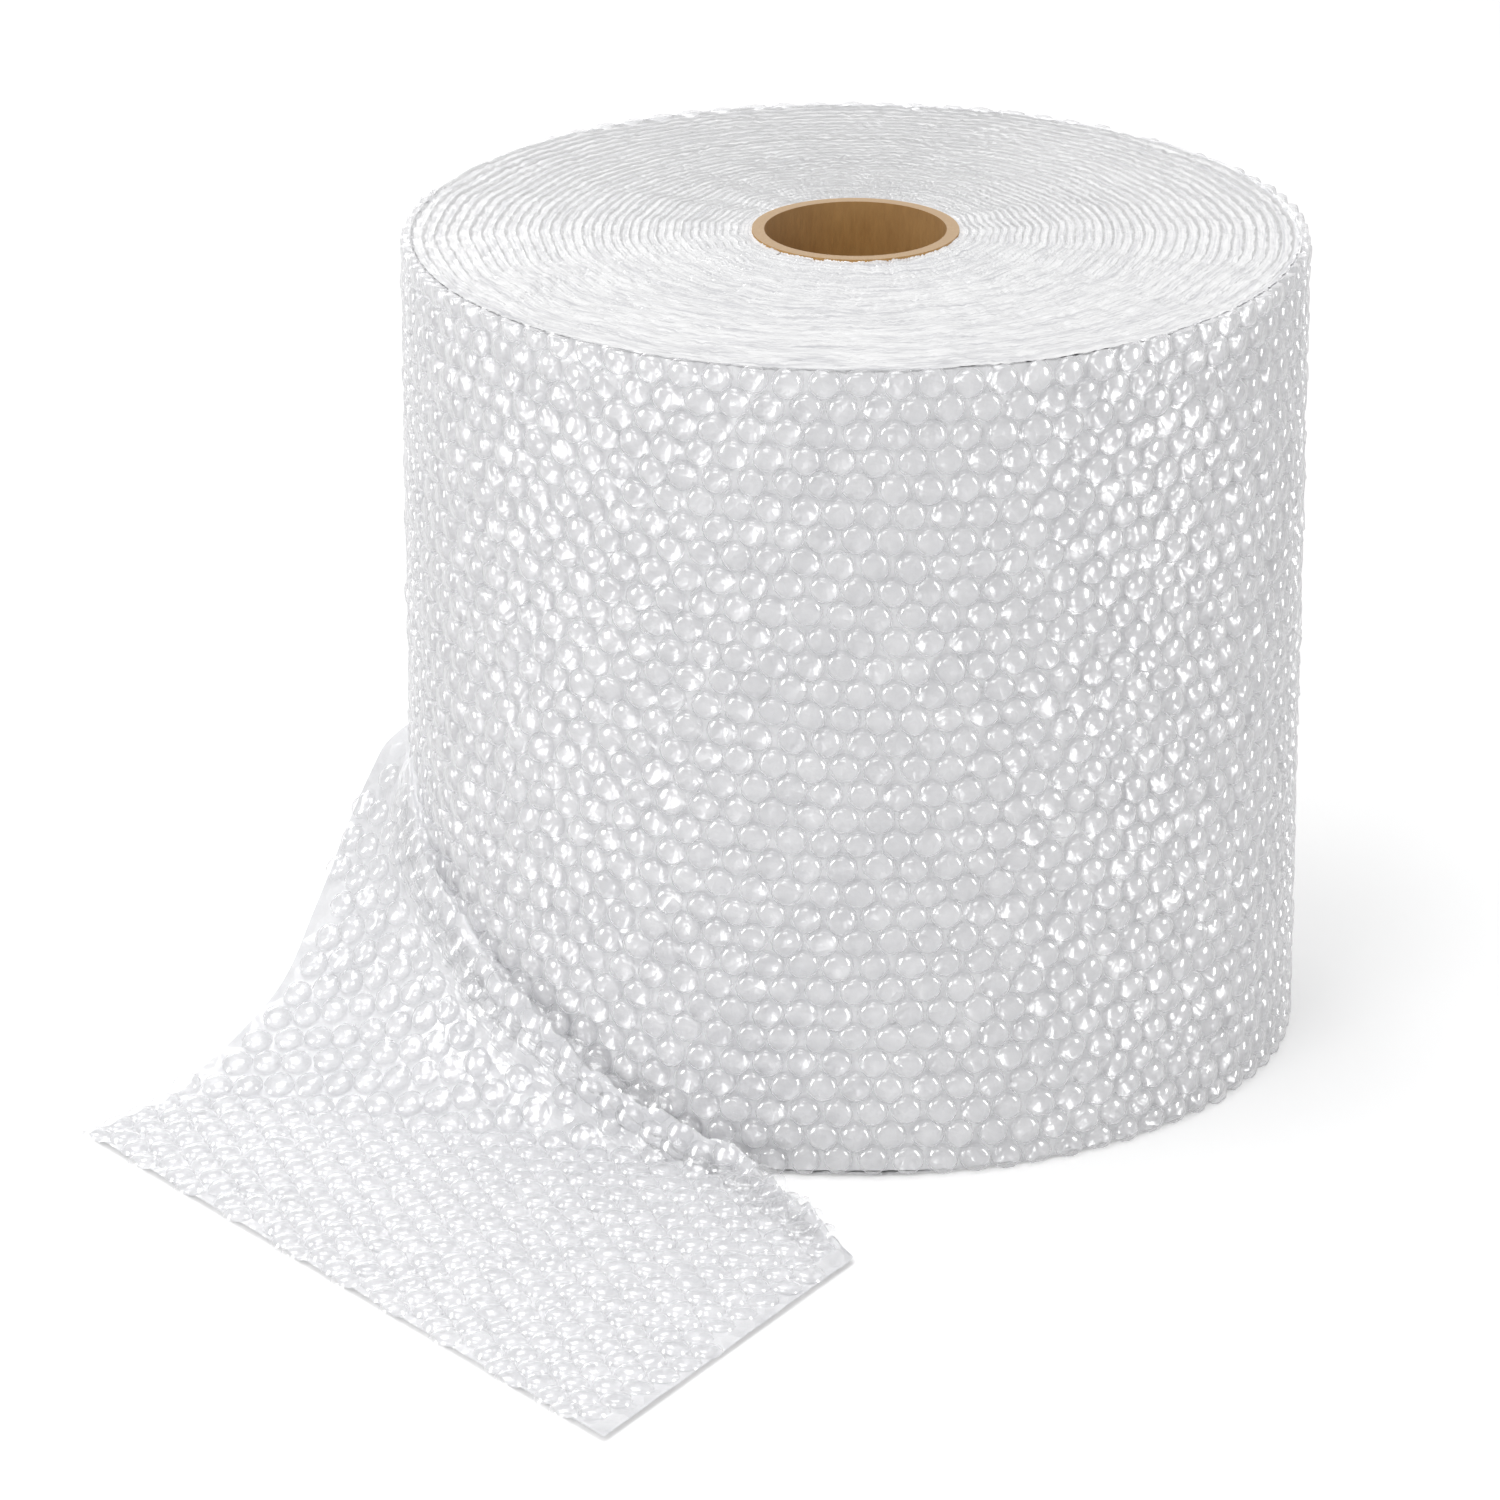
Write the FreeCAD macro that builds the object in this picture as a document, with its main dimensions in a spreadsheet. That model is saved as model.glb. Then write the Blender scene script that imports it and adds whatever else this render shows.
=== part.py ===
import FreeCAD, Part
import math
import os

import Sketcher

# Bubble wrap roll standing on end: a cardboard core tube and one long web of bubble film.
# The web is wound into the roll, and its last stretch is peeled off and lies on the floor.
# Millimetres, +Z up, the core's axis is the Z axis and the floor is z = 0.
# Angles are degrees about +Z from +X, and -90 is the front.

SIZES = {
    # the web and the roll
    "web_width": 300,
    "roll_radius": 163,
    "turn_thickness": 4,
    "turn_depth": 2,
    "row_pitch": 14.1,
    "bubble_pitch": 18.5,
    "bubble_depth": 3,
    # the cardboard core
    "core_bore_radius": 32.75,
    "core_wall": 4.5,
    # the loose end: film with its bubbles, and the hem where it folds away from the roll
    "tail_thickness": 4,
    "hem_height": 11,
    "hem_width": 15,
    "tail_sag": 5,
    "hem_sink": 5,
    "peel_height": 110,
    "peel_angle": -171,
    "edge_angle": -179,
    "foot_angle": -108,
    "foot_height": 3,
    # the corners of the loose end, by how far they lie out from the roll
    "right_corner_reach": 69,
    "right_corner_angle": -90.5,
    "front_corner_reach": 218,
    "front_corner_angle": -103,
    "cut_bearing": 127.5,
    "cut_slant": 76,
}

doc = FreeCAD.newDocument("BubbleWrapRoll")
sheet = doc.addObject("Spreadsheet::Sheet", "Sizes")
for row, (name, value) in enumerate(SIZES.items(), start=1):
    sheet.set(f"A{row}", name)
    sheet.set(f"B{row}", str(value))
    sheet.setAlias(f"B{row}", name)
doc.recompute()


def size(name):
    return float(sheet.get(name))


def newBody(name):
    body = doc.addObject("PartDesign::Body", name)
    body.Label = name
    return body


def newSketch(body, name, role):
    sketch = body.newObject("Sketcher::SketchObject", name)
    plane = next(f for f in body.Origin.OriginFeatures if f.Role == role)
    sketch.AttachmentSupport = [(plane, "")]
    sketch.MapMode = "FlatFace"
    return sketch


def addCircle(sketch, name, expression):
    """A circle about the sketch's origin, whose radius follows the sheet."""
    centre, up = FreeCAD.Vector(0, 0, 0), FreeCAD.Vector(0, 0, 1)
    index = sketch.addGeometry(Part.Circle(centre, up, 1 + sketch.GeometryCount), False)
    sketch.addConstraint(Sketcher.Constraint("Coincident", index, 3, -1, 1))
    constraint = sketch.addConstraint(Sketcher.Constraint("Radius", index, 1 + index))
    sketch.renameConstraint(constraint, name)
    sketch.setExpression(f"Constraints.{name}", expression)


def addOutline(sketch, points):
    """A closed outline of straight lines through (across, up) points."""
    corners = [FreeCAD.Vector(x, y, 0) for x, y in points]
    lines = [Part.LineSegment(a, b) for a, b in zip(corners, corners[1:] + corners[:1])]
    sketch.addGeometry(lines, False)


def padRing(body, inner, outer, length):
    sketch = newSketch(body, body.Name + "Ring", "XY_Plane")
    addCircle(sketch, "inner", inner)
    addCircle(sketch, "outer", outer)
    pad = body.newObject("PartDesign::Pad", body.Name + "Pad")
    pad.Profile = sketch
    pad.setExpression("Length", length)
    return pad


# Core tube: a plain wound cardboard tube, flush with the film at both ends.
core = newBody("core_tube")
CORE_OUTER = "Sizes.core_bore_radius + Sizes.core_wall"
padRing(core, "Sizes.core_bore_radius", CORE_OUTER, "Sizes.web_width")
core_radius = size("core_bore_radius") + size("core_wall")


def flatFace(corners):
    return Part.Face(Part.makePolygon(corners + corners[:1]))


# Wound film: the bubbles stand in staggered rows around the roll. Each is a low four-sided point,
# and a valley lies between it and the next one in its row, so that every face is a flat triangle.
# The real film has 82 bubbles around and 32 rows. Here each stands for about two of them.
row_count = round(size("web_width") / size("row_pitch"))
bubbles_around = round(2 * math.pi * size("roll_radius") / size("bubble_pitch"))


def ringAt(height, depth_at):
    ring = []
    for step in range(2 * bubbles_around):
        turn = math.pi * step / bubbles_around
        out = size("roll_radius") - size("bubble_depth") * depth_at(step)
        ring.append(FreeCAD.Vector(out * math.cos(turn), out * math.sin(turn), height))
    return ring


def bubbleRows():
    """A solid of flat triangles with a flat end at each edge of the web."""
    rings = [ringAt(0, lambda step: 0.5)]
    for row in range(row_count):
        height = (row + 0.5) * size("web_width") / row_count
        rings.append(ringAt(height, lambda step: (step + row) % 2))
    rings.append(ringAt(size("web_width"), lambda step: 0.5))
    faces = [flatFace(rings[0]), flatFace(rings[-1])]
    for level, (low, high) in enumerate(zip(rings, rings[1:])):
        for step, near in enumerate(low):
            after = (step + 1) % len(low)
            corners = [near, low[after], high[after], high[step]]
            # the edge across each pair of triangles runs from valley to valley
            if (step + level) % 2 == 0:
                corners = corners[1:] + corners[:1]
            a, b, c, d = corners
            faces += [flatFace([a, b, d]), flatFace([b, c, d])]
    return Part.makeSolid(Part.makeShell(faces))


lattice = doc.addObject("Part::Feature", "bubble_rows")
lattice.Shape = bubbleRows()
roll = newBody("film_roll")
roll.BaseFeature = lattice
bore = newSketch(roll, "film_rollBore", "XY_Plane")
addCircle(bore, "inner", CORE_OUTER)
pocket = roll.newObject("PartDesign::Pocket", "film_rollPocket")
pocket.Profile = bore
pocket.Type = "ThroughAll"
pocket.Midplane = True
pocket.Refine = False
doc.recompute()


def zigzag(start, stop, pitch, depth):
    """(place, height) of ridges: crests at 0, valleys at -depth, from start to past stop."""
    count = math.ceil((stop - start) / pitch)
    return [(start + i * pitch / 2, -depth * (i % 2)) for i in range(2 * count + 1)]


def cutAround(body, name, points, axis_at, angle):
    """Turns an outline about the upright axis at x = axis_at and cuts it away."""
    sketch = newSketch(body, name + "Section", "XZ_Plane")
    addOutline(sketch, points)
    foot, top = FreeCAD.Vector(axis_at, 0, 0), FreeCAD.Vector(axis_at, 1, 0)
    sketch.addGeometry(Part.LineSegment(foot, top), True)
    groove = body.newObject("PartDesign::Groove", name)
    groove.Profile = sketch
    groove.ReferenceAxis = (sketch, ["Axis0"])
    groove.Angle = angle
    groove.Refine = False
    doc.recompute()
    return groove


# Turns on the upper end: two sets of half rings, set a quarter pitch to each side of the axis,
# which meet end to end as one spiral. Each ridge is three turns.
TURNS_IN_RIDGE = 3
turn_pitch = TURNS_IN_RIDGE * size("turn_thickness")
above = size("web_width") + 3
inner_turn = core_radius - 1.5 * turn_pitch
outer_turn = size("roll_radius") - size("bubble_depth") - 1.5 * turn_pitch
for name, side in (("BackTurns", 1), ("FrontTurns", -1)):
    shift = side * turn_pitch / 4
    turns = zigzag(inner_turn - shift, outer_turn, turn_pitch, size("turn_depth"))
    turns = [(shift + out, size("web_width") + up) for out, up in turns]
    turn_outline = turns + [(turns[-1][0], above), (turns[0][0], above)]
    groove = cutAround(roll, name, turn_outline, shift, 180)
    groove.Reversed = side > 0
    doc.recompute()
roll.Tip = groove


# Loose end: a sheet between its hem, which follows the roll and then the floor, and its free edge.
def around(reach, angle, height):
    turn = math.radians(angle)
    out = size("roll_radius") + reach
    return FreeCAD.Vector(out * math.cos(turn), out * math.sin(turn), height)


def between(a, b, share):
    return a + (b - a) * share


front_corner = around(size("front_corner_reach"), size("front_corner_angle"), 0)
right_corner = around(size("right_corner_reach"), size("right_corner_angle"), 0)
cut_length = size("web_width") / math.sin(math.radians(size("cut_slant")))
bearing = math.radians(size("cut_bearing"))
cut_line = FreeCAD.Vector(math.cos(bearing), math.sin(bearing), 0) * cut_length
left_corner = front_corner + cut_line
left_reach = math.hypot(left_corner.x, left_corner.y) - size("roll_radius")
left_angle = math.degrees(math.atan2(left_corner.y, left_corner.x))

# Stations on the roll: share of the hem's turn, of the peel height at the hem,
# then share of the free edge's reach, of its turn and of the peel height at that edge.
ROLL_STATIONS = (
    (0.00, 1.00, 0.03, 0.00, 1.02),
    (0.13, 0.77, 0.14, 0.10, 0.74),
    (0.30, 0.58, 0.21, 0.24, 0.56),
    (0.47, 0.43, 0.29, 0.41, 0.39),
    (0.70, 0.26, 0.41, 0.60, 0.21),
    (1.00, 0.00, 0.64, 0.80, 0.06),
)
# Stations on the floor: share of the way from the foot to the right corner and how far the hem
# bows towards the roll, then share of the free edge's reach and of its turn.
FLOOR_STATIONS = ((0.40, 9, 0.75, 0.86), (1.00, 0, 0.86, 0.92))
# Stations between the right corner and the cut end: share of the way, and what is left of the hem.
CUT_STATIONS = ((0.12, 0.2), (0.5, 0), (1.0, 0))
STEPS_BETWEEN = 2


def smooth(points):
    """Evenly numbered points of a smooth curve through points."""
    curve = Part.BSplineCurve()
    curve.interpolate(Points=points, Parameters=[float(i) for i in range(len(points))])
    steps = STEPS_BETWEEN * (len(points) - 1)
    return [curve.value(i / STEPS_BETWEEN) for i in range(steps + 1)]


def tailStations():
    """(hem point, edge point, share of the hem) from the peak of the peel to the cut end."""
    hem_turn = size("foot_angle") - size("peel_angle")
    edge_start = size("edge_angle")
    edge_turn = left_angle - edge_start
    climb = size("peel_height") - size("foot_height")
    hems, edges = [], []
    for turn, hem_up, reach, edge, edge_up in ROLL_STATIONS:
        hem_angle = size("peel_angle") + turn * hem_turn
        hems.append(around(-size("hem_sink"), hem_angle, size("foot_height") + hem_up * climb))
        height = edge_up * size("peel_height")
        edges.append(around(reach * left_reach, edge_start + edge * edge_turn, height))
    foot = around(0, size("foot_angle"), 0)
    for share, bow, reach, edge in FLOOR_STATIONS:
        hem = between(foot, right_corner, share)
        hems.append(hem - FreeCAD.Vector(hem.x, hem.y, 0).normalize() * bow)
        edges.append(around(reach * left_reach, edge_start + edge * edge_turn, 0))
    stations = [(hem, edge, 1) for hem, edge in zip(smooth(hems), smooth(edges))]
    last_edge = edges[-1]
    for share, left in CUT_STATIONS:
        hem = between(right_corner, front_corner, share)
        stations.append((hem, between(last_edge, left_corner, share), left))
    return stations


def tailSection(hem, edge, hem_share):
    """Corners of an upright section: the hem's fold, a wrinkle beside it, then the thin sheet."""
    width = (edge - hem).Length
    fold = min(size("hem_width"), width / 4)
    thin = size("tail_thickness")
    swell = (size("hem_height") - thin) * hem_share
    middle = (2 * fold + width) / 2
    # (distance from the hem, height above the underside)
    top = (
        (0, thin),
        (0.5 * fold, thin + swell),
        (fold, thin + 0.15 * swell),
        (1.5 * fold, thin + 0.4 * swell),
        (2 * fold, thin),
        (middle, thin),
        (width, thin),
    )
    bottom = (width, middle, 2 * fold, 0)
    up = FreeCAD.Vector(0, 0, 1)

    def under(distance):
        share = distance / width
        point = between(hem, edge, share)
        sag = 4 * size("tail_sag") * share * (1 - share)
        return FreeCAD.Vector(point.x, point.y, max(0, point.z - sag))

    upper = [under(distance) + up * height for distance, height in top]
    return upper + [under(distance) for distance in bottom]


def skin(sections):
    """A closed solid of flat triangles from section to section."""
    faces = [flatFace(sections[0]), flatFace(sections[-1])]
    for near, far in zip(sections, sections[1:]):
        for i, corner in enumerate(near):
            after = (i + 1) % len(near)
            faces.append(flatFace([corner, far[i], far[after]]))
            faces.append(flatFace([corner, far[after], near[after]]))
    return Part.makeSolid(Part.makeShell(faces))


tail = doc.addObject("Part::Feature", "film_tail")
tail.Shape = skin([tailSection(*station) for station in tailStations()])
tail.Placement = FreeCAD.Placement()

film = doc.addObject("Part::Fuse", "bubble_film")
film.Label = "bubble_film"
film.Base = roll
film.Tool = tail
doc.recompute()

for thing in doc.Objects:
    if "Invalid" in thing.State or "Error" in thing.State:
        raise RuntimeError(f"{thing.Name} failed: {thing.State}")

os.makedirs("parts", exist_ok=True)
for part in (core, film):
    shape = part.Shape
    if shape.isNull() or not shape.isValid():
        raise RuntimeError(f"{part.Label} has no valid shape")
    if len(shape.Solids) != 1:
        raise RuntimeError(f"{part.Label} is {len(shape.Solids)} solids")
    box = shape.BoundBox
    print(
        f"{part.Label}: {shape.Volume / 1000:.1f} cm3, {len(shape.Faces)} faces, "
        f"x {box.XMin:.1f} {box.XMax:.1f}, y {box.YMin:.1f} {box.YMax:.1f}, "
        f"z {box.ZMin:.2f} {box.ZMax:.2f}"
    )
    shape.exportStep(f"parts/{part.Label}.step")
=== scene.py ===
import math

import bpy
import numpy as np
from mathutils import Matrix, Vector
from mathutils.kdtree import KDTree


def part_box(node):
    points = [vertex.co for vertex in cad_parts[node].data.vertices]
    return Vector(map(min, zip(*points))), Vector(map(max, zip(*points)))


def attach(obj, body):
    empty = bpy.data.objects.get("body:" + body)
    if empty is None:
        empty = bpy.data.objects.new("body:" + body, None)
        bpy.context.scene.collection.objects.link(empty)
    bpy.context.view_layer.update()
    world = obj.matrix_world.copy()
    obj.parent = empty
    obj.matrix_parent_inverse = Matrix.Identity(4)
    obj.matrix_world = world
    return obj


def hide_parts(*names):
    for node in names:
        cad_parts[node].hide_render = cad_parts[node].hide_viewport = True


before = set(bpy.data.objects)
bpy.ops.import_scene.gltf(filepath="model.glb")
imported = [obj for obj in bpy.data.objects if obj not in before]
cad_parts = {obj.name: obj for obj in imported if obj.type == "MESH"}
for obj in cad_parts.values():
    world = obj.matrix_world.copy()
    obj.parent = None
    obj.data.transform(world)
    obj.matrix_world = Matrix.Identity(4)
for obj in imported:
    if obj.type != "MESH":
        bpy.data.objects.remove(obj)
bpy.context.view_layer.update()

# the roll's driving sizes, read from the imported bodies, in metres
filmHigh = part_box("bubble_film")[1]
rollRadius = filmHigh[0]
webWidth = filmHigh[2]
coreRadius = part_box("core_tube")[1][0]
print("frame loaded: roll radius", round(rollRadius, 4), "web width", round(webWidth, 4))

film = {
    "columns": 82,  # bubbles around the outer turn
    "rows": 32,
    "bubbleRadius": 0.0057,
    "bubbleHeight": 0.0034,
    "bubbleSides": 12,
    "bubbleRings": 3,
    "bubbleFlatness": 5.5,  # how square the dome's shoulder is
    "ringCrowding": 0.7,  # below 1 the dome's rings gather at the shoulder
    "dishDepth": 0.0021,  # the flat film is dished behind each bubble
    "edgeMargin": 0.0006,  # the outer turn stops this far inside the roll's ends
    "turnAtCore": 0.0026,  # the turns are wound tighter near the core
    "turnAtRim": 0.0046,
    "endAngle": math.radians(-171),  # where the loose end leaves the roll
}
rowPitch = webWidth / film["rows"]
outerFilmRadius = rollRadius - film["bubbleHeight"]
bubblePitch = math.tau * outerFilmRadius / film["columns"]


weld = 1e-5  # points nearer than this are one


# small modelling helpers
def deselectAll():
    bpy.ops.object.select_all(action="DESELECT")


def pick(obj):
    deselectAll()
    obj.select_set(True)
    bpy.context.view_layer.objects.active = obj
    return obj


def named(name):
    obj = bpy.context.object
    obj.name = name
    obj.data.name = name
    return obj


def applied(obj, kind, **settings):
    pick(obj)
    modifier = obj.modifiers.new(kind, kind)
    for key, value in settings.items():
        setattr(modifier, key, value)
    bpy.ops.object.modifier_apply(modifier=modifier.name)


def points(obj):
    flat = np.empty(3 * len(obj.data.vertices))
    obj.data.vertices.foreach_get("co", flat)
    return flat.reshape(-1, 3)


def setPoints(obj, coords):
    obj.data.vertices.foreach_set("co", np.ascontiguousarray(coords).ravel())
    obj.data.update()


def edited(obj, *steps):
    pick(obj)
    bpy.ops.object.mode_set(mode="EDIT")
    bpy.ops.mesh.select_all(action="SELECT")
    for step, settings in steps:
        step(**settings)
    bpy.ops.object.mode_set(mode="OBJECT")


def shadedSmooth(obj, angle=180):
    pick(obj)
    bpy.ops.object.shade_smooth_by_angle(angle=math.radians(angle))


def dressed(obj, material, *replaced):
    obj.data.materials.clear()
    obj.data.materials.append(material)
    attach(obj, "root")
    if replaced:
        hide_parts(*replaced)
    print("piece", obj.name, "faces", len(obj.data.polygons))
    return obj


# a flat grid, with x and y from 0 to 1
def flatSheet(name, alongSteps, acrossSteps):
    deselectAll()
    bpy.ops.mesh.primitive_grid_add(x_subdivisions=alongSteps, y_subdivisions=acrossSteps, size=1)
    sheet = named(name)
    setPoints(sheet, points(sheet) + (0.5, 0.5, 0))
    return sheet


# a node's output, so that shader maths reads as plain Python
class Wire:
    def __init__(self, tree, socket=None):
        self.tree = tree
        self.socket = socket

    def node(self, kind, settings=None, values=None, out=0):
        made = self.tree.nodes.new("ShaderNode" + kind)
        for key, value in (settings or {}).items():
            setattr(made, key, value)
        for key, value in (values or {}).items():
            if isinstance(value, Wire):
                self.tree.links.new(value.socket, made.inputs[key])
            else:
                made.inputs[key].default_value = value
        return Wire(self.tree, made.outputs[out])

    def maths(self, operation, first, second):
        return self.node("Math", {"operation": operation}, {0: first, 1: second})

    def __add__(self, other):
        return self.maths("ADD", self, other)

    __radd__ = __add__

    def __sub__(self, other):
        return self.maths("SUBTRACT", self, other)

    def __rsub__(self, other):
        return self.maths("SUBTRACT", other, self)

    def __mul__(self, other):
        return self.maths("MULTIPLY", self, other)

    __rmul__ = __mul__

    def __pow__(self, other):
        return self.maths("POWER", self, other)

    def place(self, stretch=(1, 1, 1), where=None):
        where = where or self.node("TexCoord", out="Object")
        return self.node("Mapping", None, {"Vector": where, "Scale": stretch})

    def noise(self, scale, detail=3.0, stretch=(1, 1, 1), where=None):
        values = {"Vector": self.place(stretch, where), "Scale": scale, "Detail": detail}
        return self.node("TexNoise", None, values)

    def clamped(self, low=0.0, high=1.0):
        return self.maths("MINIMUM", self.maths("MAXIMUM", self, low), high)

    def mixed(self, share, first, second):
        values = {0: share, 6: first, 7: second}
        return self.node("Mix", {"data_type": "RGBA"}, values, 2)

    def bump(self, height, distance):
        values = {"Height": height, "Distance": distance, "Strength": 1.0}
        return self.node("Bump", None, values)


def newMaterial(name):
    material = bpy.data.materials.new(name)
    material.use_nodes = True
    material.node_tree.nodes.clear()
    return material, Wire(material.node_tree)


def finished(material, shader):
    out = material.node_tree.nodes.new("ShaderNodeOutputMaterial")
    material.node_tree.links.new(shader.socket, out.inputs["Surface"])
    return material


# clear film: a thin mirror at a slant, see-through face on, with some milk in it and fine creases
def clearFilm(name, look):
    material, start = newMaterial(name)
    slant = start.node("LayerWeight", None, {"Blend": 0.5}, 1)
    creases = start.noise(look["creaseScale"], 4.0)
    normal = start.bump(creases, look["creaseDepth"])
    through = start.node("BsdfTransparent", None, {"Color": (*look["tint"], 1)})
    mirror = {
        "Base Color": (*look["mirror"], 1),
        "Metallic": 1,
        "Roughness": look["roughness"],
        "Normal": normal,
    }
    gloss = start.node("BsdfPrincipled", None, mirror)
    shine = start.node("Fresnel", None, {"IOR": look["ior"]}).clamped(0, look["mostShine"])
    clear = start.node("MixShader", None, {0: shine, 1: through, 2: gloss})
    milk = {"Base Color": (*look["colour"], 1), "Roughness": 0.5, "Normal": normal}
    cloudy = start.node("BsdfPrincipled", None, milk)
    cloud = look["milk"] + (creases - 0.5) * look["milkSpread"]
    cover = cloud + (look["slantMilk"] - cloud) * slant ** look["slantPower"]
    whole = start.node("MixShader", None, {0: cover.clamped(), 1: clear, 2: cloudy})
    return finished(material, whole)


bubbleLook = {
    "colour": (0.95, 0.95, 0.965),
    "tint": (0.99, 0.99, 0.992),
    "mirror": (0.98, 0.98, 0.98),
    "milk": 0.06,  # cover seen face on
    "milkSpread": 0.25,
    "slantMilk": 0.85,  # cover seen at a slant
    "slantPower": 2.3,
    "roughness": 0.2,
    "ior": 2.0,
    "mostShine": 0.3,
    "creaseScale": 200,
    "creaseDepth": 0.0002,
}
looseBubbleLook = dict(bubbleLook, milk=0.05, milkSpread=0.2, slantMilk=0.65)

innerLook = {
    "light": (0.97, 0.97, 0.98),
    "dark": (0.66, 0.66, 0.685),
    "roughness": 0.36,
    "ior": 2.4,
    "cellScale": 130.0,
    "noiseScale": 60,
    "depth": 0.003,
}
looseLook = dict(
    innerLook, light=(0.95, 0.95, 0.965), dark=(0.72, 0.725, 0.75), roughness=0.25, ior=1.7
)


# what shows through the bubbles: white film, soft and uneven; its light and dark mottle, put at random,
# is partly the film's own unevenness and partly painted shade and painted highlight
def deepTurns(name, look):
    material, start = newMaterial(name)
    cells = start.node("TexVoronoi", None, {"Vector": start.place(), "Scale": look["cellScale"]})
    # the mottle's dark grey is partly painted shade and its white partly painted highlight, at random
    # places
    mottleWithPaintedShade = (start.noise(look["noiseScale"], 5.0) * 0.7 + cells * 0.5).clamped()
    values = {
        "Base Color": start.mixed(mottleWithPaintedShade, (*look["dark"], 1), (*look["light"], 1)),
        "Roughness": look["roughness"],
        "IOR": look["ior"],
        "Normal": start.bump(mottleWithPaintedShade, look["depth"]),
    }
    return finished(material, start.node("BsdfPrincipled", None, values))


# cut film edges on end: fine bright and grey lines along the turns, with glints; the grey lines are
# painted shade of the gaps between the turns
def cutFilmEdges():
    look = {
        "light": (0.98, 0.98, 0.985),
        "dark": (0.60, 0.60, 0.63),
        "roughness": 0.22,
        "ior": 1.9,
        "depth": 0.0004,
    }
    material, start = newMaterial("cutEdges")
    turns = start.node("UVMap", {"uv_map": "web"})
    fine = start.noise(1.0, 4.0, (55, 5.5, 1), turns)
    broad = start.noise(1.0, 2.0, (9, 0.8, 1), turns)
    dashes = start.noise(1.0, 3.0, (150, 3.0, 1), turns)
    # the grey streaks, put at random along the turns, are painted shade of the gaps between the turns
    tone = ((fine - 0.5) * 2.8 + (broad - 0.5) * 1.2 + 0.78).clamped()
    values = {
        "Base Color": start.mixed(tone, (*look["dark"], 1), (*look["light"], 1)),
        "Roughness": look["roughness"],
        "IOR": look["ior"],
        "Normal": start.bump(fine * 0.5 + dashes * 0.5, look["depth"]),
    }
    return finished(material, start.node("BsdfPrincipled", None, values))


# cardboard: fibres and blotches, with a paler cut end
def cardboard():
    look = {
        "wall": (0.34, 0.17, 0.045),
        "pale": (0.62, 0.36, 0.125),
        "cut": (0.53, 0.385, 0.25),
        "cutCover": 0.85,
        "roughness": 0.85,
        "depth": 0.0006,
    }
    material, start = newMaterial("cardboard")
    fibres = start.noise(420, 6.0, (1, 1, 0.25))
    blotches = start.noise(38, 3.0)
    up = start.node("SeparateXYZ", None, {0: start.node("NewGeometry", out="Normal")}, 2)
    endFace = up.maths("GREATER_THAN", up * up, 0.5)
    tone = (fibres * 0.6 + blotches * 0.6 - 0.1).clamped()
    wall = start.mixed(tone, (*look["wall"], 1), (*look["pale"], 1))
    values = {
        "Base Color": start.mixed(endFace * look["cutCover"], wall, (*look["cut"], 1)),
        "Roughness": look["roughness"],
        "Normal": start.bump(fibres, look["depth"]),
    }
    return finished(material, start.node("BsdfPrincipled", None, values))


clearBubble = clearFilm("clearBubble", bubbleLook)
innerWhite = deepTurns("deepTurns", innerLook)
looseWhite = deepTurns("looseWhite", looseLook)
cutEdges = cutFilmEdges()
clearLooseBubble = clearFilm("clearLooseBubble", looseBubbleLook)
print("materials made")


# one bubble, open at the bottom, with a more or less square shoulder
def bubble(height, flatness):
    deselectAll()
    bpy.ops.mesh.primitive_uv_sphere_add(
        segments=film["bubbleSides"], ring_count=2 * film["bubbleRings"], radius=film["bubbleRadius"]
    )
    dome = named("bubble")
    halved = {"plane_co": (0, 0, 0), "plane_no": (0, 0, 1), "clear_inner": True}
    edited(dome, (bpy.ops.mesh.bisect, halved))
    coords = points(dome)
    reach = np.hypot(coords[:, 0], coords[:, 1]) / film["bubbleRadius"]
    outward = np.maximum(reach, 1e-6) ** (film["ringCrowding"] - 1)  # rings gather at the shoulder
    coords[:, :2] *= outward[:, None]
    rise = np.sqrt(np.clip(1 - (reach * outward) ** flatness, 0, 1))
    coords[:, 2] = height * rise
    setPoints(dome, coords)
    return dome


def repeated(dome, count, step):
    applied(
        dome,
        "ARRAY",
        count=count,
        use_relative_offset=False,
        use_constant_offset=True,
        constant_offset_displace=step,
    )


unevenness = {
    "stretch": 0.035,
    "slackShare": 0.03,  # so many of the bubbles have lost some air
    "slackHeight": 0.75,
    "lean": 0.14,
    "tilt": 0.12,
    "tiltReach": 0.0055,
    "shift": 0.00035,
}


# no two bubbles are quite alike: each is moved, stretched, leaned and let down a little
def uneven(coords, count, seed):
    draw = np.random.default_rng(seed)
    blocks = coords.reshape(count, -1, 3)
    centres = blocks.mean(1, keepdims=True) * (1, 1, 0)
    local = blocks - centres
    local *= 1 + draw.normal(0, unevenness["stretch"], (count, 1, 3))
    slack = draw.random((count, 1)) < unevenness["slackShare"]
    local[:, :, 2] *= np.where(slack, unevenness["slackHeight"], 1.0)
    lean = draw.normal(0, unevenness["lean"], (count, 2))
    tilt = draw.normal(0, unevenness["tilt"], (count, 2))
    slope = (tilt[:, None, :] * local[:, :, :2]).sum(2)
    local[:, :, 2] *= 1 + slope / unevenness["tiltReach"]
    local[:, :, :2] += lean[:, None, :] * local[:, :, 2:]
    centres[:, :, :2] += draw.normal(0, unevenness["shift"], (count, 1, 2))
    return (centres + local).reshape(-1, 3)


rowDrift = {"slow": 0.0012, "quick": 0.0007, "sideways": 0.0010}


# the rows wander up and down a little around the roll
def wandered(coords):
    turn = coords[:, 0] / outerFilmRadius
    slow = rowDrift["slow"] * np.sin(3 * turn + 9 * coords[:, 1])
    quick = rowDrift["quick"] * np.sin(7 * turn - 22 * coords[:, 1])
    coords[:, 1] += slow + quick
    coords[:, 0] += rowDrift["sideways"] * np.sin(31 * coords[:, 1] + 2 * turn)
    return coords


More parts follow.
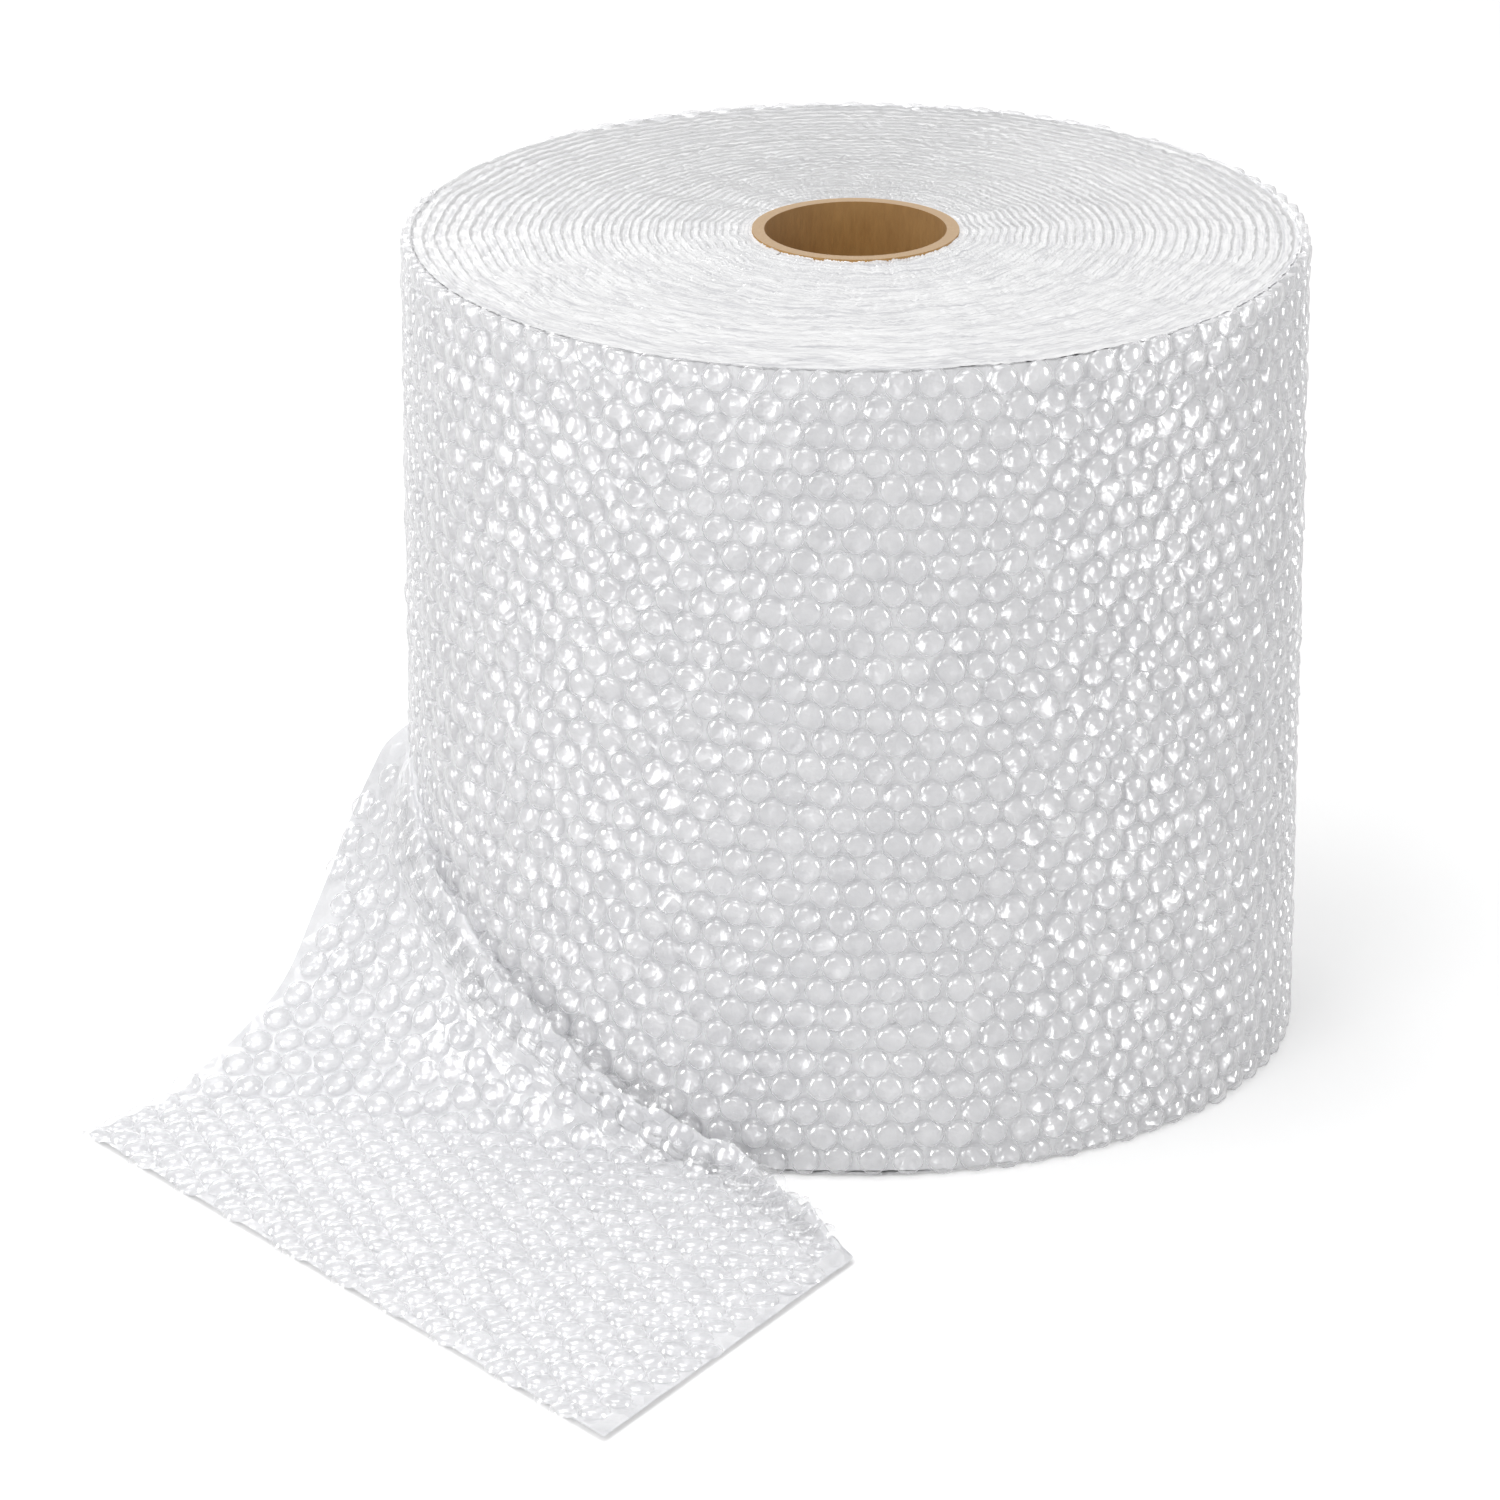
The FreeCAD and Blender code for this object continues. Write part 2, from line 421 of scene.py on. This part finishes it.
# flat film, x along and y across, goes around the roll at this radius
def wrapped(coords, radius):
    turn = coords[:, 0] / outerFilmRadius
    out = radius + coords[:, 2]
    height = np.clip(coords[:, 1], film["edgeMargin"], webWidth - film["edgeMargin"])
    return np.stack([out * np.cos(turn), out * np.sin(turn), height], 1)


def bubblesAround(seed):
    count = film["columns"] * film["rows"]
    rows = bubble(film["bubbleHeight"], film["bubbleFlatness"])
    repeated(rows, 2, (bubblePitch / 2, rowPitch, 0))  # the second row is staggered
    repeated(rows, film["columns"], (bubblePitch, 0, 0))
    repeated(rows, film["rows"] // 2, (0, 2 * rowPitch, 0))
    coords = uneven(points(rows) + (0, rowPitch / 2, 0), count, seed)
    setPoints(rows, wrapped(wandered(coords), outerFilmRadius))
    shadedSmooth(rows)
    return named("outerBubbles")


# distance from each point of the flat film to the nearest bubble's middle, in bubble radii
def fromCentre(coords):
    nearest = np.full(len(coords), np.inf)
    row = np.floor(coords[:, 1] / rowPitch)
    for step in (-1, 0, 1):
        beside = row + step
        shift = bubblePitch / 2 * (beside % 2)
        along = (coords[:, 0] - shift + bubblePitch / 2) % bubblePitch - bubblePitch / 2
        across = coords[:, 1] - (beside + 0.5) * rowPitch
        nearest = np.minimum(nearest, np.hypot(along, across) / film["bubbleRadius"])
    return nearest


bed = {
    "alongSteps": 7,  # for each bubble
    "acrossSteps": 5,
    "below": 0.0002,
    "lumpSize": 0.012,
    "lumpWaves": 14,
    "lumpHeight": 0.0002,
    "dishUneven": 0.5,
}


# smooth lumps, about -1 to 1, that join up around the roll
def lumps(coords, seed, size, count):
    draw = np.random.default_rng(seed)
    total = np.zeros(len(coords))
    around = math.tau * outerFilmRadius
    for wave in range(count):
        turns = round(around / size * draw.uniform(0.5, 1) * draw.choice((-1, 1)))
        rate = math.tau / size * draw.uniform(-1, 1)
        phase = turns * coords[:, 0] / outerFilmRadius + rate * coords[:, 1]
        total += np.sin(phase + draw.uniform(0, 6))
    return total / math.sqrt(count)


# the flat film under the bubbles and what lies behind it: dished under each bubble, and lumpy
# where the next turn's bubbles press from behind
def filmBed():
    sheet = flatSheet("filmBed", film["columns"] * bed["alongSteps"], film["rows"] * bed["acrossSteps"])
    coords = points(sheet) * (math.tau * outerFilmRadius, webWidth, 1)
    dish = np.clip(1 - fromCentre(coords) ** 2, 0, 1)
    behind = lumps(coords, 31, bed["lumpSize"], bed["lumpWaves"])
    dished = -film["dishDepth"] * dish * (1 + bed["dishUneven"] * behind)
    coords[:, 2] = dished + bed["lumpHeight"] * behind
    setPoints(sheet, wrapped(wandered(coords), outerFilmRadius - bed["below"]))
    edited(sheet, (bpy.ops.mesh.remove_doubles, {"threshold": weld}))
    shadedSmooth(sheet)
    return sheet


dressed(bubblesAround(11), clearBubble, "bubble_film")
dressed(filmBed(), innerWhite)
print("outer turn wound")


# the turns at the ends: cut edges of the flat film and of the bubble film, wound as a spiral
growth = (film["turnAtRim"] - film["turnAtCore"]) / (outerFilmRadius - coreRadius)
turnCount = math.log(film["turnAtRim"] / film["turnAtCore"]) / growth
turnTable = np.linspace(0, turnCount, 6000)
radiusTable = coreRadius + film["turnAtCore"] / growth * (np.exp(growth * turnTable) - 1)
lengthTable = np.concatenate([[0], np.cumsum(np.diff(turnTable) * math.tau * radiusTable[1:])])
print("turns", round(turnCount, 1), "web on the roll", round(lengthTable[-1], 2), "m")

ends = {
    "stepsAround": 624,
    "flatEdge": 0.0003,  # how far the cut edges stand back from the end of the roll
    "bubbleEdge": 0.0006,
    "valley": 0.0011,
    "wander": 0.0007,  # the turns run in and out
    "nudge": 0.0004,
    "leastBulge": 0.30,  # share of a turn that the bubble film takes between bubbles
    "coreBulge": 0.14,  # and what a bubble adds, at the core and more at the rim
    "rimBulge": 0.26,
    "rimBand": 0.012,  # the turns keep their place at the rim and the core
    "coreBand": 0.006,
}


# smooth unevenness around the roll that changes slowly from turn to turn, about -1 to 1
def ripples(angle, across, seed, waves, most):
    draw = np.random.default_rng(seed)
    total = np.zeros_like(angle)
    for wave in range(waves):
        times = draw.integers(most // 5 + 1, most + 1)
        total += np.sin(times * angle + across * draw.uniform(-90, 90) + draw.uniform(0, math.tau))
    return total / math.sqrt(waves)


# four lines to a turn: the flat film's edge, a valley, the bubble film's edge and a valley
def turnEdges(name, top, direction, seed):
    lines = 4 * math.ceil(turnCount)
    relief = flatSheet(name, ends["stepsAround"], lines)
    coords = points(relief)
    line = np.rint(coords[:, 1] * lines).astype(int)
    kind = line % 4
    turn = line // 4 + coords[:, 0]
    angle = film["endAngle"] - math.tau * turnCount + math.tau * coords[:, 0]
    length = np.interp(turn, turnTable, lengthTable)
    rim = np.interp(turn, turnTable, radiusTable) / outerFilmRadius
    along = length / bubblePitch
    full = 0.5 - 0.5 * np.cos(math.tau * along)
    unlike = 0.8 + 0.2 * np.sin(1.7 * along.astype(int) + line // 4)
    bulge = ends["leastBulge"] + (ends["coreBulge"] + ends["rimBulge"] * rim) * full * unlike
    steps = [0 * bulge, bulge / 2, bulge]
    share = np.select([kind == 0, kind == 1, kind == 2], steps, (1 + bulge) / 2)
    turn = np.where(line == 0, 0, np.minimum(turn + share, turnCount))
    radius = np.interp(turn, turnTable, radiusTable)
    fromRim = np.clip((outerFilmRadius - radius) / ends["rimBand"], 0, 1)
    fromCore = np.clip((radius - coreRadius) / ends["coreBand"], 0, 1)
    wander = ends["wander"] * ripples(angle, radius, seed, 8, 21)
    radius = radius + fromRim * fromCore * wander
    edges = [ends["flatEdge"], ends["bubbleEdge"]]
    depth = np.select([kind == 0, kind == 2], edges, ends["valley"])
    depth = np.where((turn >= turnCount) | (line == 0), ends["flatEdge"], depth)
    lift = 0.5 + 0.5 * np.clip(ripples(angle, radius, seed + 1, 10, 40), -1, 1)
    nicks = np.abs(ripples(angle, 9 * radius, seed + 2, 9, 160))
    depth = depth * (0.7 + 0.3 * rim) + ends["nudge"] * (lift + nicks)
    height = top - direction * depth
    setPoints(relief, np.stack([radius * np.cos(angle), radius * np.sin(angle), height], 1))
    web = relief.data.uv_layers.new(name="web")
    corners = np.empty(len(relief.data.loops), dtype=np.int32)
    relief.data.loops.foreach_get("vertex_index", corners)
    web.data.foreach_set("uv", np.stack([length, turn], 1)[corners].ravel())
    edited(
        relief,
        (bpy.ops.mesh.remove_doubles, {"threshold": weld}),
        (bpy.ops.mesh.normals_make_consistent, {"inside": False}),
    )
    if np.mean([face.normal.z for face in relief.data.polygons]) * direction < 0:
        edited(relief, (bpy.ops.mesh.flip_normals, {}))
    shadedSmooth(relief)
    return dressed(relief, cutEdges)


upperTurns = turnEdges("upperTurns", webWidth, 1, 40)
lowerTurns = turnEdges("lowerTurns", 0, -1, 60)
print("ends made")


# the loose end, laid out as the solid is: stations from the peak of the peel to the cut end
tail = {
    "gap": 0.0019,  # the flat film over the floor, dished down between its bubbles' rims
    "dish": 0.0016,
    "bubbleHeight": 0.0032,
    "bubbleFlatness": 2.6,
    "hemHeight": 0.0080,
    "hemWidth": 0.015,
    "hemStand": 0.002,  # off the roll
    "hemRows": ((0.0062, 0.0), (0.0128, 0.005)),  # each from the hem, and where it starts
    "hemPitch": 0.0098,
    "crinkle": 0.15,
    "fineCrinkle": 0.4,
    "tuckReach": 0.005,
    "tuckDepth": 0.009,
    "sag": 0.005,
    "landing": 0.005,
    "peelHeight": 0.110,
    "peelAngle": -171,
    "edgeAngle": -179,
    "footAngle": -108,
    "footHeight": 0.003,
    "rightReach": 0.069,
    "rightAngle": -90.5,
    "frontReach": 0.218,
    "frontAngle": -103,
    "cutBearing": 127.5,
    "cutSlant": 76,
    "alongSteps": 300,
    "acrossSteps": 230,
    "floorGap": 0.0002,
}
# share of the hem's turn and of its climb, then of the free edge's reach, turn and climb
rollStations = (
    (0.00, 1.00, 0.03, 0.00, 1.02),
    (0.13, 0.77, 0.14, 0.10, 0.74),
    (0.30, 0.58, 0.21, 0.24, 0.56),
    (0.47, 0.43, 0.29, 0.41, 0.39),
    (0.70, 0.26, 0.41, 0.60, 0.21),
    (1.00, 0.00, 0.64, 0.80, 0.06),
)
# share of the way from the foot to the right corner and the hem's bow, then reach and turn
floorStations = ((0.40, 0.009, 0.75, 0.86), (1.00, 0.0, 0.86, 0.92))


def around(reach, angle, height):
    turn = math.radians(angle)
    out = rollRadius + reach
    return np.array([out * math.cos(turn), out * math.sin(turn), height])


frontCorner = around(tail["frontReach"], tail["frontAngle"], 0)
rightCorner = around(tail["rightReach"], tail["rightAngle"], 0)
cutBearing = math.radians(tail["cutBearing"])
cutLength = webWidth / math.sin(math.radians(tail["cutSlant"]))
leftCorner = frontCorner + cutLength * np.array([math.cos(cutBearing), math.sin(cutBearing), 0])
leftReach = math.hypot(leftCorner[0], leftCorner[1]) - rollRadius
leftAngle = math.degrees(math.atan2(leftCorner[1], leftCorner[0]))


def tailLines():
    hemTurn = tail["footAngle"] - tail["peelAngle"]
    edgeTurn = leftAngle - tail["edgeAngle"]
    climb = tail["peelHeight"] - tail["footHeight"]
    hems, edges = [], []
    for turn, hemUp, reach, edge, edgeUp in rollStations:
        hemAngle = tail["peelAngle"] + turn * hemTurn
        hems.append(around(tail["hemStand"], hemAngle, tail["footHeight"] + hemUp * climb))
        angle = tail["edgeAngle"] + edge * edgeTurn
        edges.append(around(reach * leftReach, angle, edgeUp * tail["peelHeight"]))
    foot = around(0, tail["footAngle"], 0)
    for share, bow, reach, edge in floorStations:
        hem = foot + (rightCorner - foot) * share
        hems.append(hem - bow * hem / np.linalg.norm(hem))
        edges.append(around(reach * leftReach, tail["edgeAngle"] + edge * edgeTurn, 0))
    return np.array(hems), np.array(edges)


# second derivatives of the natural cubic through evenly numbered stations
def throughStations(values):
    count = len(values)
    system = np.eye(count)
    rise = np.zeros_like(values)
    for i in range(1, count - 1):
        system[i, i - 1 : i + 2] = (1, 4, 1)
        rise[i] = 6 * (values[i - 1] - 2 * values[i] + values[i + 1])
    return np.linalg.solve(system, rise)


hemStations, edgeStations = tailLines()
hemCurves, edgeCurves = throughStations(hemStations), throughStations(edgeStations)
lastStation = len(hemStations) - 1
lastRollStation = len(rollStations) - 1


# a point for each station number t; past the last station the line runs straight to the cut
def alongStations(t, values, curves, cutCorner):
    i = np.clip(np.floor(t).astype(int), 0, lastStation - 1)
    b = np.clip(t, 0, lastStation)[:, None] - i[:, None]
    a = 1 - b
    bend = (a**3 - a) * curves[i] + (b**3 - b) * curves[i + 1]
    curved = a * values[i] + b * values[i + 1] + bend / 6
    past = np.clip(t - lastStation, 0, 1)[:, None]
    return curved + past * (cutCorner - values[-1])


# station numbers evenly spaced along the sheet
stationTable = np.linspace(0, lastStation + 1, 900)
middleLine = alongStations(stationTable, hemStations, hemCurves, frontCorner)
middleLine = middleLine + alongStations(stationTable, edgeStations, edgeCurves, leftCorner)
middleSteps = np.linalg.norm(np.diff(middleLine, axis=0), axis=1) / 2
middleLength = np.concatenate([[0], np.cumsum(middleSteps)])
hemLine = alongStations(stationTable, hemStations, hemCurves, frontCorner)
hemLength = np.concatenate([[0], np.cumsum(np.linalg.norm(np.diff(hemLine, axis=0), axis=1))])
print("loose end about", round(middleLength[-1], 3), "m long")


# how far the film is bunched up, from 1 at the hem to 0 in the flat sheet
def gathering(apart):
    return np.clip(1.2 * np.exp(-((apart / 0.026) ** 2)), 0, 1)


# place across, half width and height of the folded hem and of the wrinkles that run beside it
hemRidges = ((0.0050, 0.0030, 1.0), (0.0130, 0.0030, 0.30), (0.0215, 0.0034, 0.22))


def hemRise(t, distance, width):
    fold = np.minimum(tail["hemWidth"], width / 4) / tail["hemWidth"]
    fade = np.clip((lastStation + 0.5 - t) / 0.9, 0, 1) ** 2
    apart = distance / np.maximum(fold, 0.2)
    run = np.interp(t, stationTable, middleLength)
    wander = 0.0014 * np.sin(61 * run) + 0.0008 * np.sin(143 * run + 1)
    total = np.zeros_like(t)
    for place, spread, size in hemRidges:
        waves = 1 + 0.22 * np.sin(120 * run + 300 * place) + 0.12 * np.sin(410 * run + 700 * place)
        total += size * waves * np.exp(-(((apart - place - wander) / spread) ** 2))
    crinkle = np.sin(510 * run + 900 * apart) * np.sin(260 * run - 1500 * apart)
    fine = np.sin(1370 * run + 700 * apart) * np.sin(430 * run + 1900 * apart)
    crinkle += tail["fineCrinkle"] * fine
    total += tail["crinkle"] * crinkle * gathering(apart)
    return tail["hemHeight"] * fade * np.clip(fold, 0.3, 1) * total


# the flat film: its place, the distance from the hem and the width there
def tailPoint(t, share):
    hem = alongStations(t, hemStations, hemCurves, frontCorner)
    edge = alongStations(t, edgeStations, edgeCurves, leftCorner)
    width = np.linalg.norm(edge - hem, axis=1)
    distance = share * width
    place = hem + share[:, None] * (edge - hem)
    level = place[:, 2] - 4 * tail["sag"] * share * (1 - share)
    soft = tail["landing"] * np.clip((lastStation - t) / 3, 0, 1)
    level = 0.5 * (level + np.sqrt(level**2 + soft**2))  # comes down on the floor without a crease
    place[:, 2] = np.maximum(level, 0) + tail["gap"] + hemRise(t, distance, width)
    # the hem is tucked in against the roll, and so is the top of the peel
    onRoll = np.clip(lastRollStation + 0.6 - t, 0, 1)
    tuck = onRoll * np.clip(1 - distance / tail["tuckReach"], 0, 1) ** 2
    tuck += np.clip(1 - t / 0.4, 0, 1) ** 2
    inward = place[:, :2] / np.linalg.norm(place[:, :2], axis=1)[:, None]
    place[:, :2] -= tail["tuckDepth"] * np.clip(tuck, 0, 1.2)[:, None] * inward
    return place, distance, width


webBearing = math.radians(tail["cutBearing"] - tail["cutSlant"])
webAlong = np.array([math.cos(webBearing), math.sin(webBearing)])
webAcross = np.array([-webAlong[1], webAlong[0]])


# station and share across of plan places on the loose end; off the sheet the share is outside 0 to 1
def onTail(plan):
    t = np.linspace(0.2, lastStation + 1, 500)
    hem = alongStations(t, hemStations, hemCurves, frontCorner)[:, :2]
    reach = alongStations(t, edgeStations, edgeCurves, leftCorner)[:, :2] - hem
    offset = plan[:, None, :] - hem[None]
    side = reach[None, :, 0] * offset[:, :, 1] - reach[None, :, 1] * offset[:, :, 0]
    crossing = np.sign(side[:, 1:]) != np.sign(side[:, :-1])
    nearShare = (offset * reach[None]).sum(2)[:, :-1] / (reach**2).sum(1)[:-1]
    within = crossing & (nearShare > -0.02) & (nearShare < 1.02)
    which = np.where(within.any(1), within.argmax(1), crossing.argmax(1))
    rows = np.arange(len(plan))
    before, after = side[rows, which], side[rows, which + 1]
    part = np.clip(before / np.where(before == after, 1, before - after), 0, 1)
    share = (offset[rows, which] * reach[which]).sum(1) / (reach[which] ** 2).sum(1)
    share = np.where(crossing.any(1), share, -1)
    return t[which] + part * (t[1] - t[0]), share


rowSearch = {
    "past": 3,  # rows looked for on both sides of the web
    "behind": 0.09,  # each row starts this far behind the front corner
    "length": 0.40,
    "step": 0.0015,
    "longestStep": 0.003,
    "sideMargin": 0.004,
    "hemMargin": 0.011,  # more of the hem is left to its own rows on the roll than on the floor
    "rollMargin": 0.0005,
}


# bubbles in the web's own rows, evenly spaced along the film, not along the floor
def bubblePlaces():
    found = []
    step = rowSearch["step"]
    ahead = np.arange(0.0, rowSearch["length"], step)
    for row in range(-rowSearch["past"], film["rows"] + rowSearch["past"]):
        start = frontCorner[:2] + (row + 0.5) * rowPitch * webAcross
        plan = start + (ahead - rowSearch["behind"])[:, None] * webAlong
        t, share = onTail(plan)
        place = tailPoint(t, np.clip(share, 0, 1))[0]
        steps = np.linalg.norm(np.diff(place, axis=0), axis=1)
        steps = np.clip(steps, step, rowSearch["longestStep"])
        steps = np.where((share[1:] > 0) & (share[1:] < 1), steps, step)
        length = np.concatenate([[0], np.cumsum(steps)])
        at = np.arange((row % 2) * bubblePitch / 2, length[-1], bubblePitch)
        reach = np.interp(at, length, ahead) - rowSearch["behind"]
        found.append(start + reach[:, None] * webAlong)
    plan = np.concatenate(found)
    t, share = onTail(plan)
    distance, width = tailPoint(t, np.clip(share, 0, 1))[1:]
    margin = rowSearch["sideMargin"]
    onSlope = np.clip(lastStation - 3 - t, 0, 1)
    inside = (share > 0) & (distance < width - margin * onSlope) & (t < lastStation + 1)
    inside &= distance > margin + rowSearch["hemMargin"] * np.clip(lastStation - t, 0, 1)
    inside &= np.hypot(plan[:, 0], plan[:, 1]) > rollRadius + rowSearch["rollMargin"]
    stations, shares = [t[inside]], [share[inside]]
    # rows pressed together along the folded hem
    for distance, first in tail["hemRows"]:
        along = np.arange(first, hemLength[-1], tail["hemPitch"])
        station = np.interp(along, hemLength, stationTable)
        station = station[(station > 0.5) & (station < lastStation - 0.12)]
        stations.append(station)
        shares.append(distance / tailPoint(station, np.zeros_like(station))[2])
    return np.concatenate(stations), np.concatenate(shares)


bubbleStations, bubbleShares = bubblePlaces()

seating = {
    "aside": 0.06,  # stations to each side that give the film's slope
    "across": 0.003,
    "upright": 0.35,  # the bubbles stand a little more upright than the film
    "hemReach": 0.014,
    "hemHeight": 0.7,
    "lowest": 0.0004,
}


def looseBubbles():
    count = len(bubbleStations)
    dome = bubble(tail["bubbleHeight"], tail["bubbleFlatness"])
    repeated(dome, count, (bubblePitch, 0, 0))
    shift = np.arange(count)[:, None, None] * np.array([bubblePitch, 0, 0])
    local = uneven(points(dome), count, 77).reshape(count, -1, 3) - shift
    place, distance, width = tailPoint(bubbleStations, bubbleShares)
    after = bubbleStations + seating["aside"]
    before = np.maximum(bubbleStations - seating["aside"], 0)
    onward = tailPoint(after, bubbleShares)[0] - tailPoint(before, bubbleShares)[0]
    inner = bubbleShares - seating["across"] / width
    outer = np.minimum(bubbleShares + seating["across"] / width, 1)
    outward = tailPoint(bubbleStations, outer)[0] - tailPoint(bubbleStations, inner)[0]
    normal = np.cross(outward, onward)
    normal *= np.sign(normal[:, 2:]) / np.linalg.norm(normal, axis=1)[:, None]
    normal[:, 2] += seating["upright"]
    normal /= np.linalg.norm(normal, axis=1)[:, None]
    along = np.array([*webAlong, 0])
    along = along - normal * (normal @ along)[:, None]
    along /= np.linalg.norm(along, axis=1)[:, None]
    across = np.cross(normal, along)
    onHem = distance < seating["hemReach"]
    local[:, :, 2] *= np.where(onHem, seating["hemHeight"], 1.0)[:, None]
    world = place[:, None] + local[:, :, :1] * along[:, None] + local[:, :, 1:2] * across[:, None]
    world += local[:, :, 2:] * normal[:, None]
    world[:, :, 2] = np.maximum(world[:, :, 2], seating["lowest"])
    setPoints(dome, world.reshape(-1, 3))
    shadedSmooth(dome)
    return named("looseBubbles"), place


def looseSheet(centres):
    sheet = flatSheet("looseFilm", tail["alongSteps"], tail["acrossSteps"])
    coords = points(sheet)
    t = np.interp(coords[:, 0] * middleLength[-1], middleLength, stationTable)
    share = coords[:, 1] ** 1.25  # the lines lie closer together by the hem
    place = tailPoint(t, share)[0]
    tree = KDTree(len(centres))
    for number, centre in enumerate(centres):
        tree.insert(centre, number)
    tree.balance()
    nearest = np.array([tree.find(point)[2] for point in place]) / film["bubbleRadius"]
    quilt = np.sin(math.tau * place[:, 0] / 0.043 + 2) * np.sin(math.tau * place[:, 1] / 0.037)
    place[:, 2] += 0.0002 * quilt - tail["dish"] * np.clip(1 - nearest**2, 0, 1)
    place[:, 2] = np.maximum(place[:, 2], tail["floorGap"])
    setPoints(sheet, place)
    if np.mean([face.normal.z for face in sheet.data.polygons]) < 0:
        edited(sheet, (bpy.ops.mesh.flip_normals, {}))
    shadedSmooth(sheet)
    return sheet


tailBubbles, bubbleCentres = looseBubbles()
looseFilm = looseSheet(bubbleCentres)
dressed(looseFilm, looseWhite)
dressed(tailBubbles, clearLooseBubble)
print("loose end laid")

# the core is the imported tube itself, in cardboard
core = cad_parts["core_tube"]
core.data.materials.clear()
core.data.materials.append(cardboard())


# floor, world, lamps and camera
studio = {
    "worldLight": 0.5,
    "floorLift": 0.35,
    "floorSize": 14,
    "floorColour": (0.82, 0.82, 0.82),
}
# place, size and watts; the side strips only glint in the film, as bright bands down the roll
lamps = {
    "leftBox": ((-1.75, -0.75, 0.62), (0.22, 1.0), 26),
    "rightBox": ((1.75, -0.75, 0.62), (0.18, 1.0), 30),
    "keyBox": ((-0.9, -1.9, 1.7), (1.0, 1.0), 13),
    "backBox": ((-0.9, 2.0, 0.85), (0.9, 0.25), 7),
    "topBox": ((-0.35, -0.1, 2.2), (1.2, 1.2), 17),
}
glintOnly = ("leftBox", "rightBox")


# 1 for the rays that see the backdrop
def whiteFor(start):
    path = start.tree.nodes.new("ShaderNodeLightPath")
    names = ("Is Camera Ray", "Is Glossy Ray", "Is Transmission Ray")
    rays = [Wire(start.tree, path.outputs[name]) for name in names]
    return (rays[0] + rays[1] + rays[2]).clamped()


def makeFloor():
    deselectAll()
    bpy.ops.mesh.primitive_plane_add(size=studio["floorSize"], location=(0, 0, -0.0002))
    floor = named("floor")
    material, start = newMaterial("floorWhite")
    paper = start.node("BsdfDiffuse", None, {"Color": (*studio["floorColour"], 1)})
    glow = start.node("Emission", None, {"Strength": whiteFor(start) * studio["floorLift"]})
    finished(material, start.node("AddShader", None, {0: paper, 1: glow}))
    floor.data.materials.append(material)


def makeWorld():
    world = bpy.data.worlds.new("studio")
    bpy.context.scene.world = world
    world.use_nodes = True
    world.node_tree.nodes.clear()
    start = Wire(world.node_tree)
    strength = studio["worldLight"] + whiteFor(start) * (1 - studio["worldLight"])
    sky = start.node("Background", None, {"Color": (1, 1, 1, 1), "Strength": strength})
    out = world.node_tree.nodes.new("ShaderNodeOutputWorld")
    world.node_tree.links.new(sky.socket, out.inputs["Surface"])


def softbox(name, place, size, watts):
    deselectAll()
    bpy.ops.object.light_add(type="AREA", location=place)
    lamp = named(name)
    lamp.data.shape = "RECTANGLE"
    lamp.data.size, lamp.data.size_y = size
    lamp.data.energy = watts
    toward = Vector((0, 0, webWidth / 2)) - Vector(place)
    lamp.rotation_euler = toward.to_track_quat("-Z", "Y").to_euler()
    lamp.visible_diffuse = name not in glintOnly


makeFloor()
makeWorld()
for name, (place, size, watts) in lamps.items():
    softbox(name, place, size, watts)

eye = {
    "place": (-0.0378, -2.6741, 1.1326),
    "pitch": 21.12,  # degrees down from level
    "lens": 187.2,
    "sensor": 36,
    "farthest": 50,
}
bpy.ops.object.camera_add(location=eye["place"], rotation=(math.radians(90 - eye["pitch"]), 0, 0))
camera = named("camera")
camera.data.lens = eye["lens"]
camera.data.sensor_width = eye["sensor"]
camera.data.clip_end = eye["farthest"]
scene = bpy.context.scene
scene.camera = camera
scene.view_settings.view_transform = "Standard"
print("studio set")
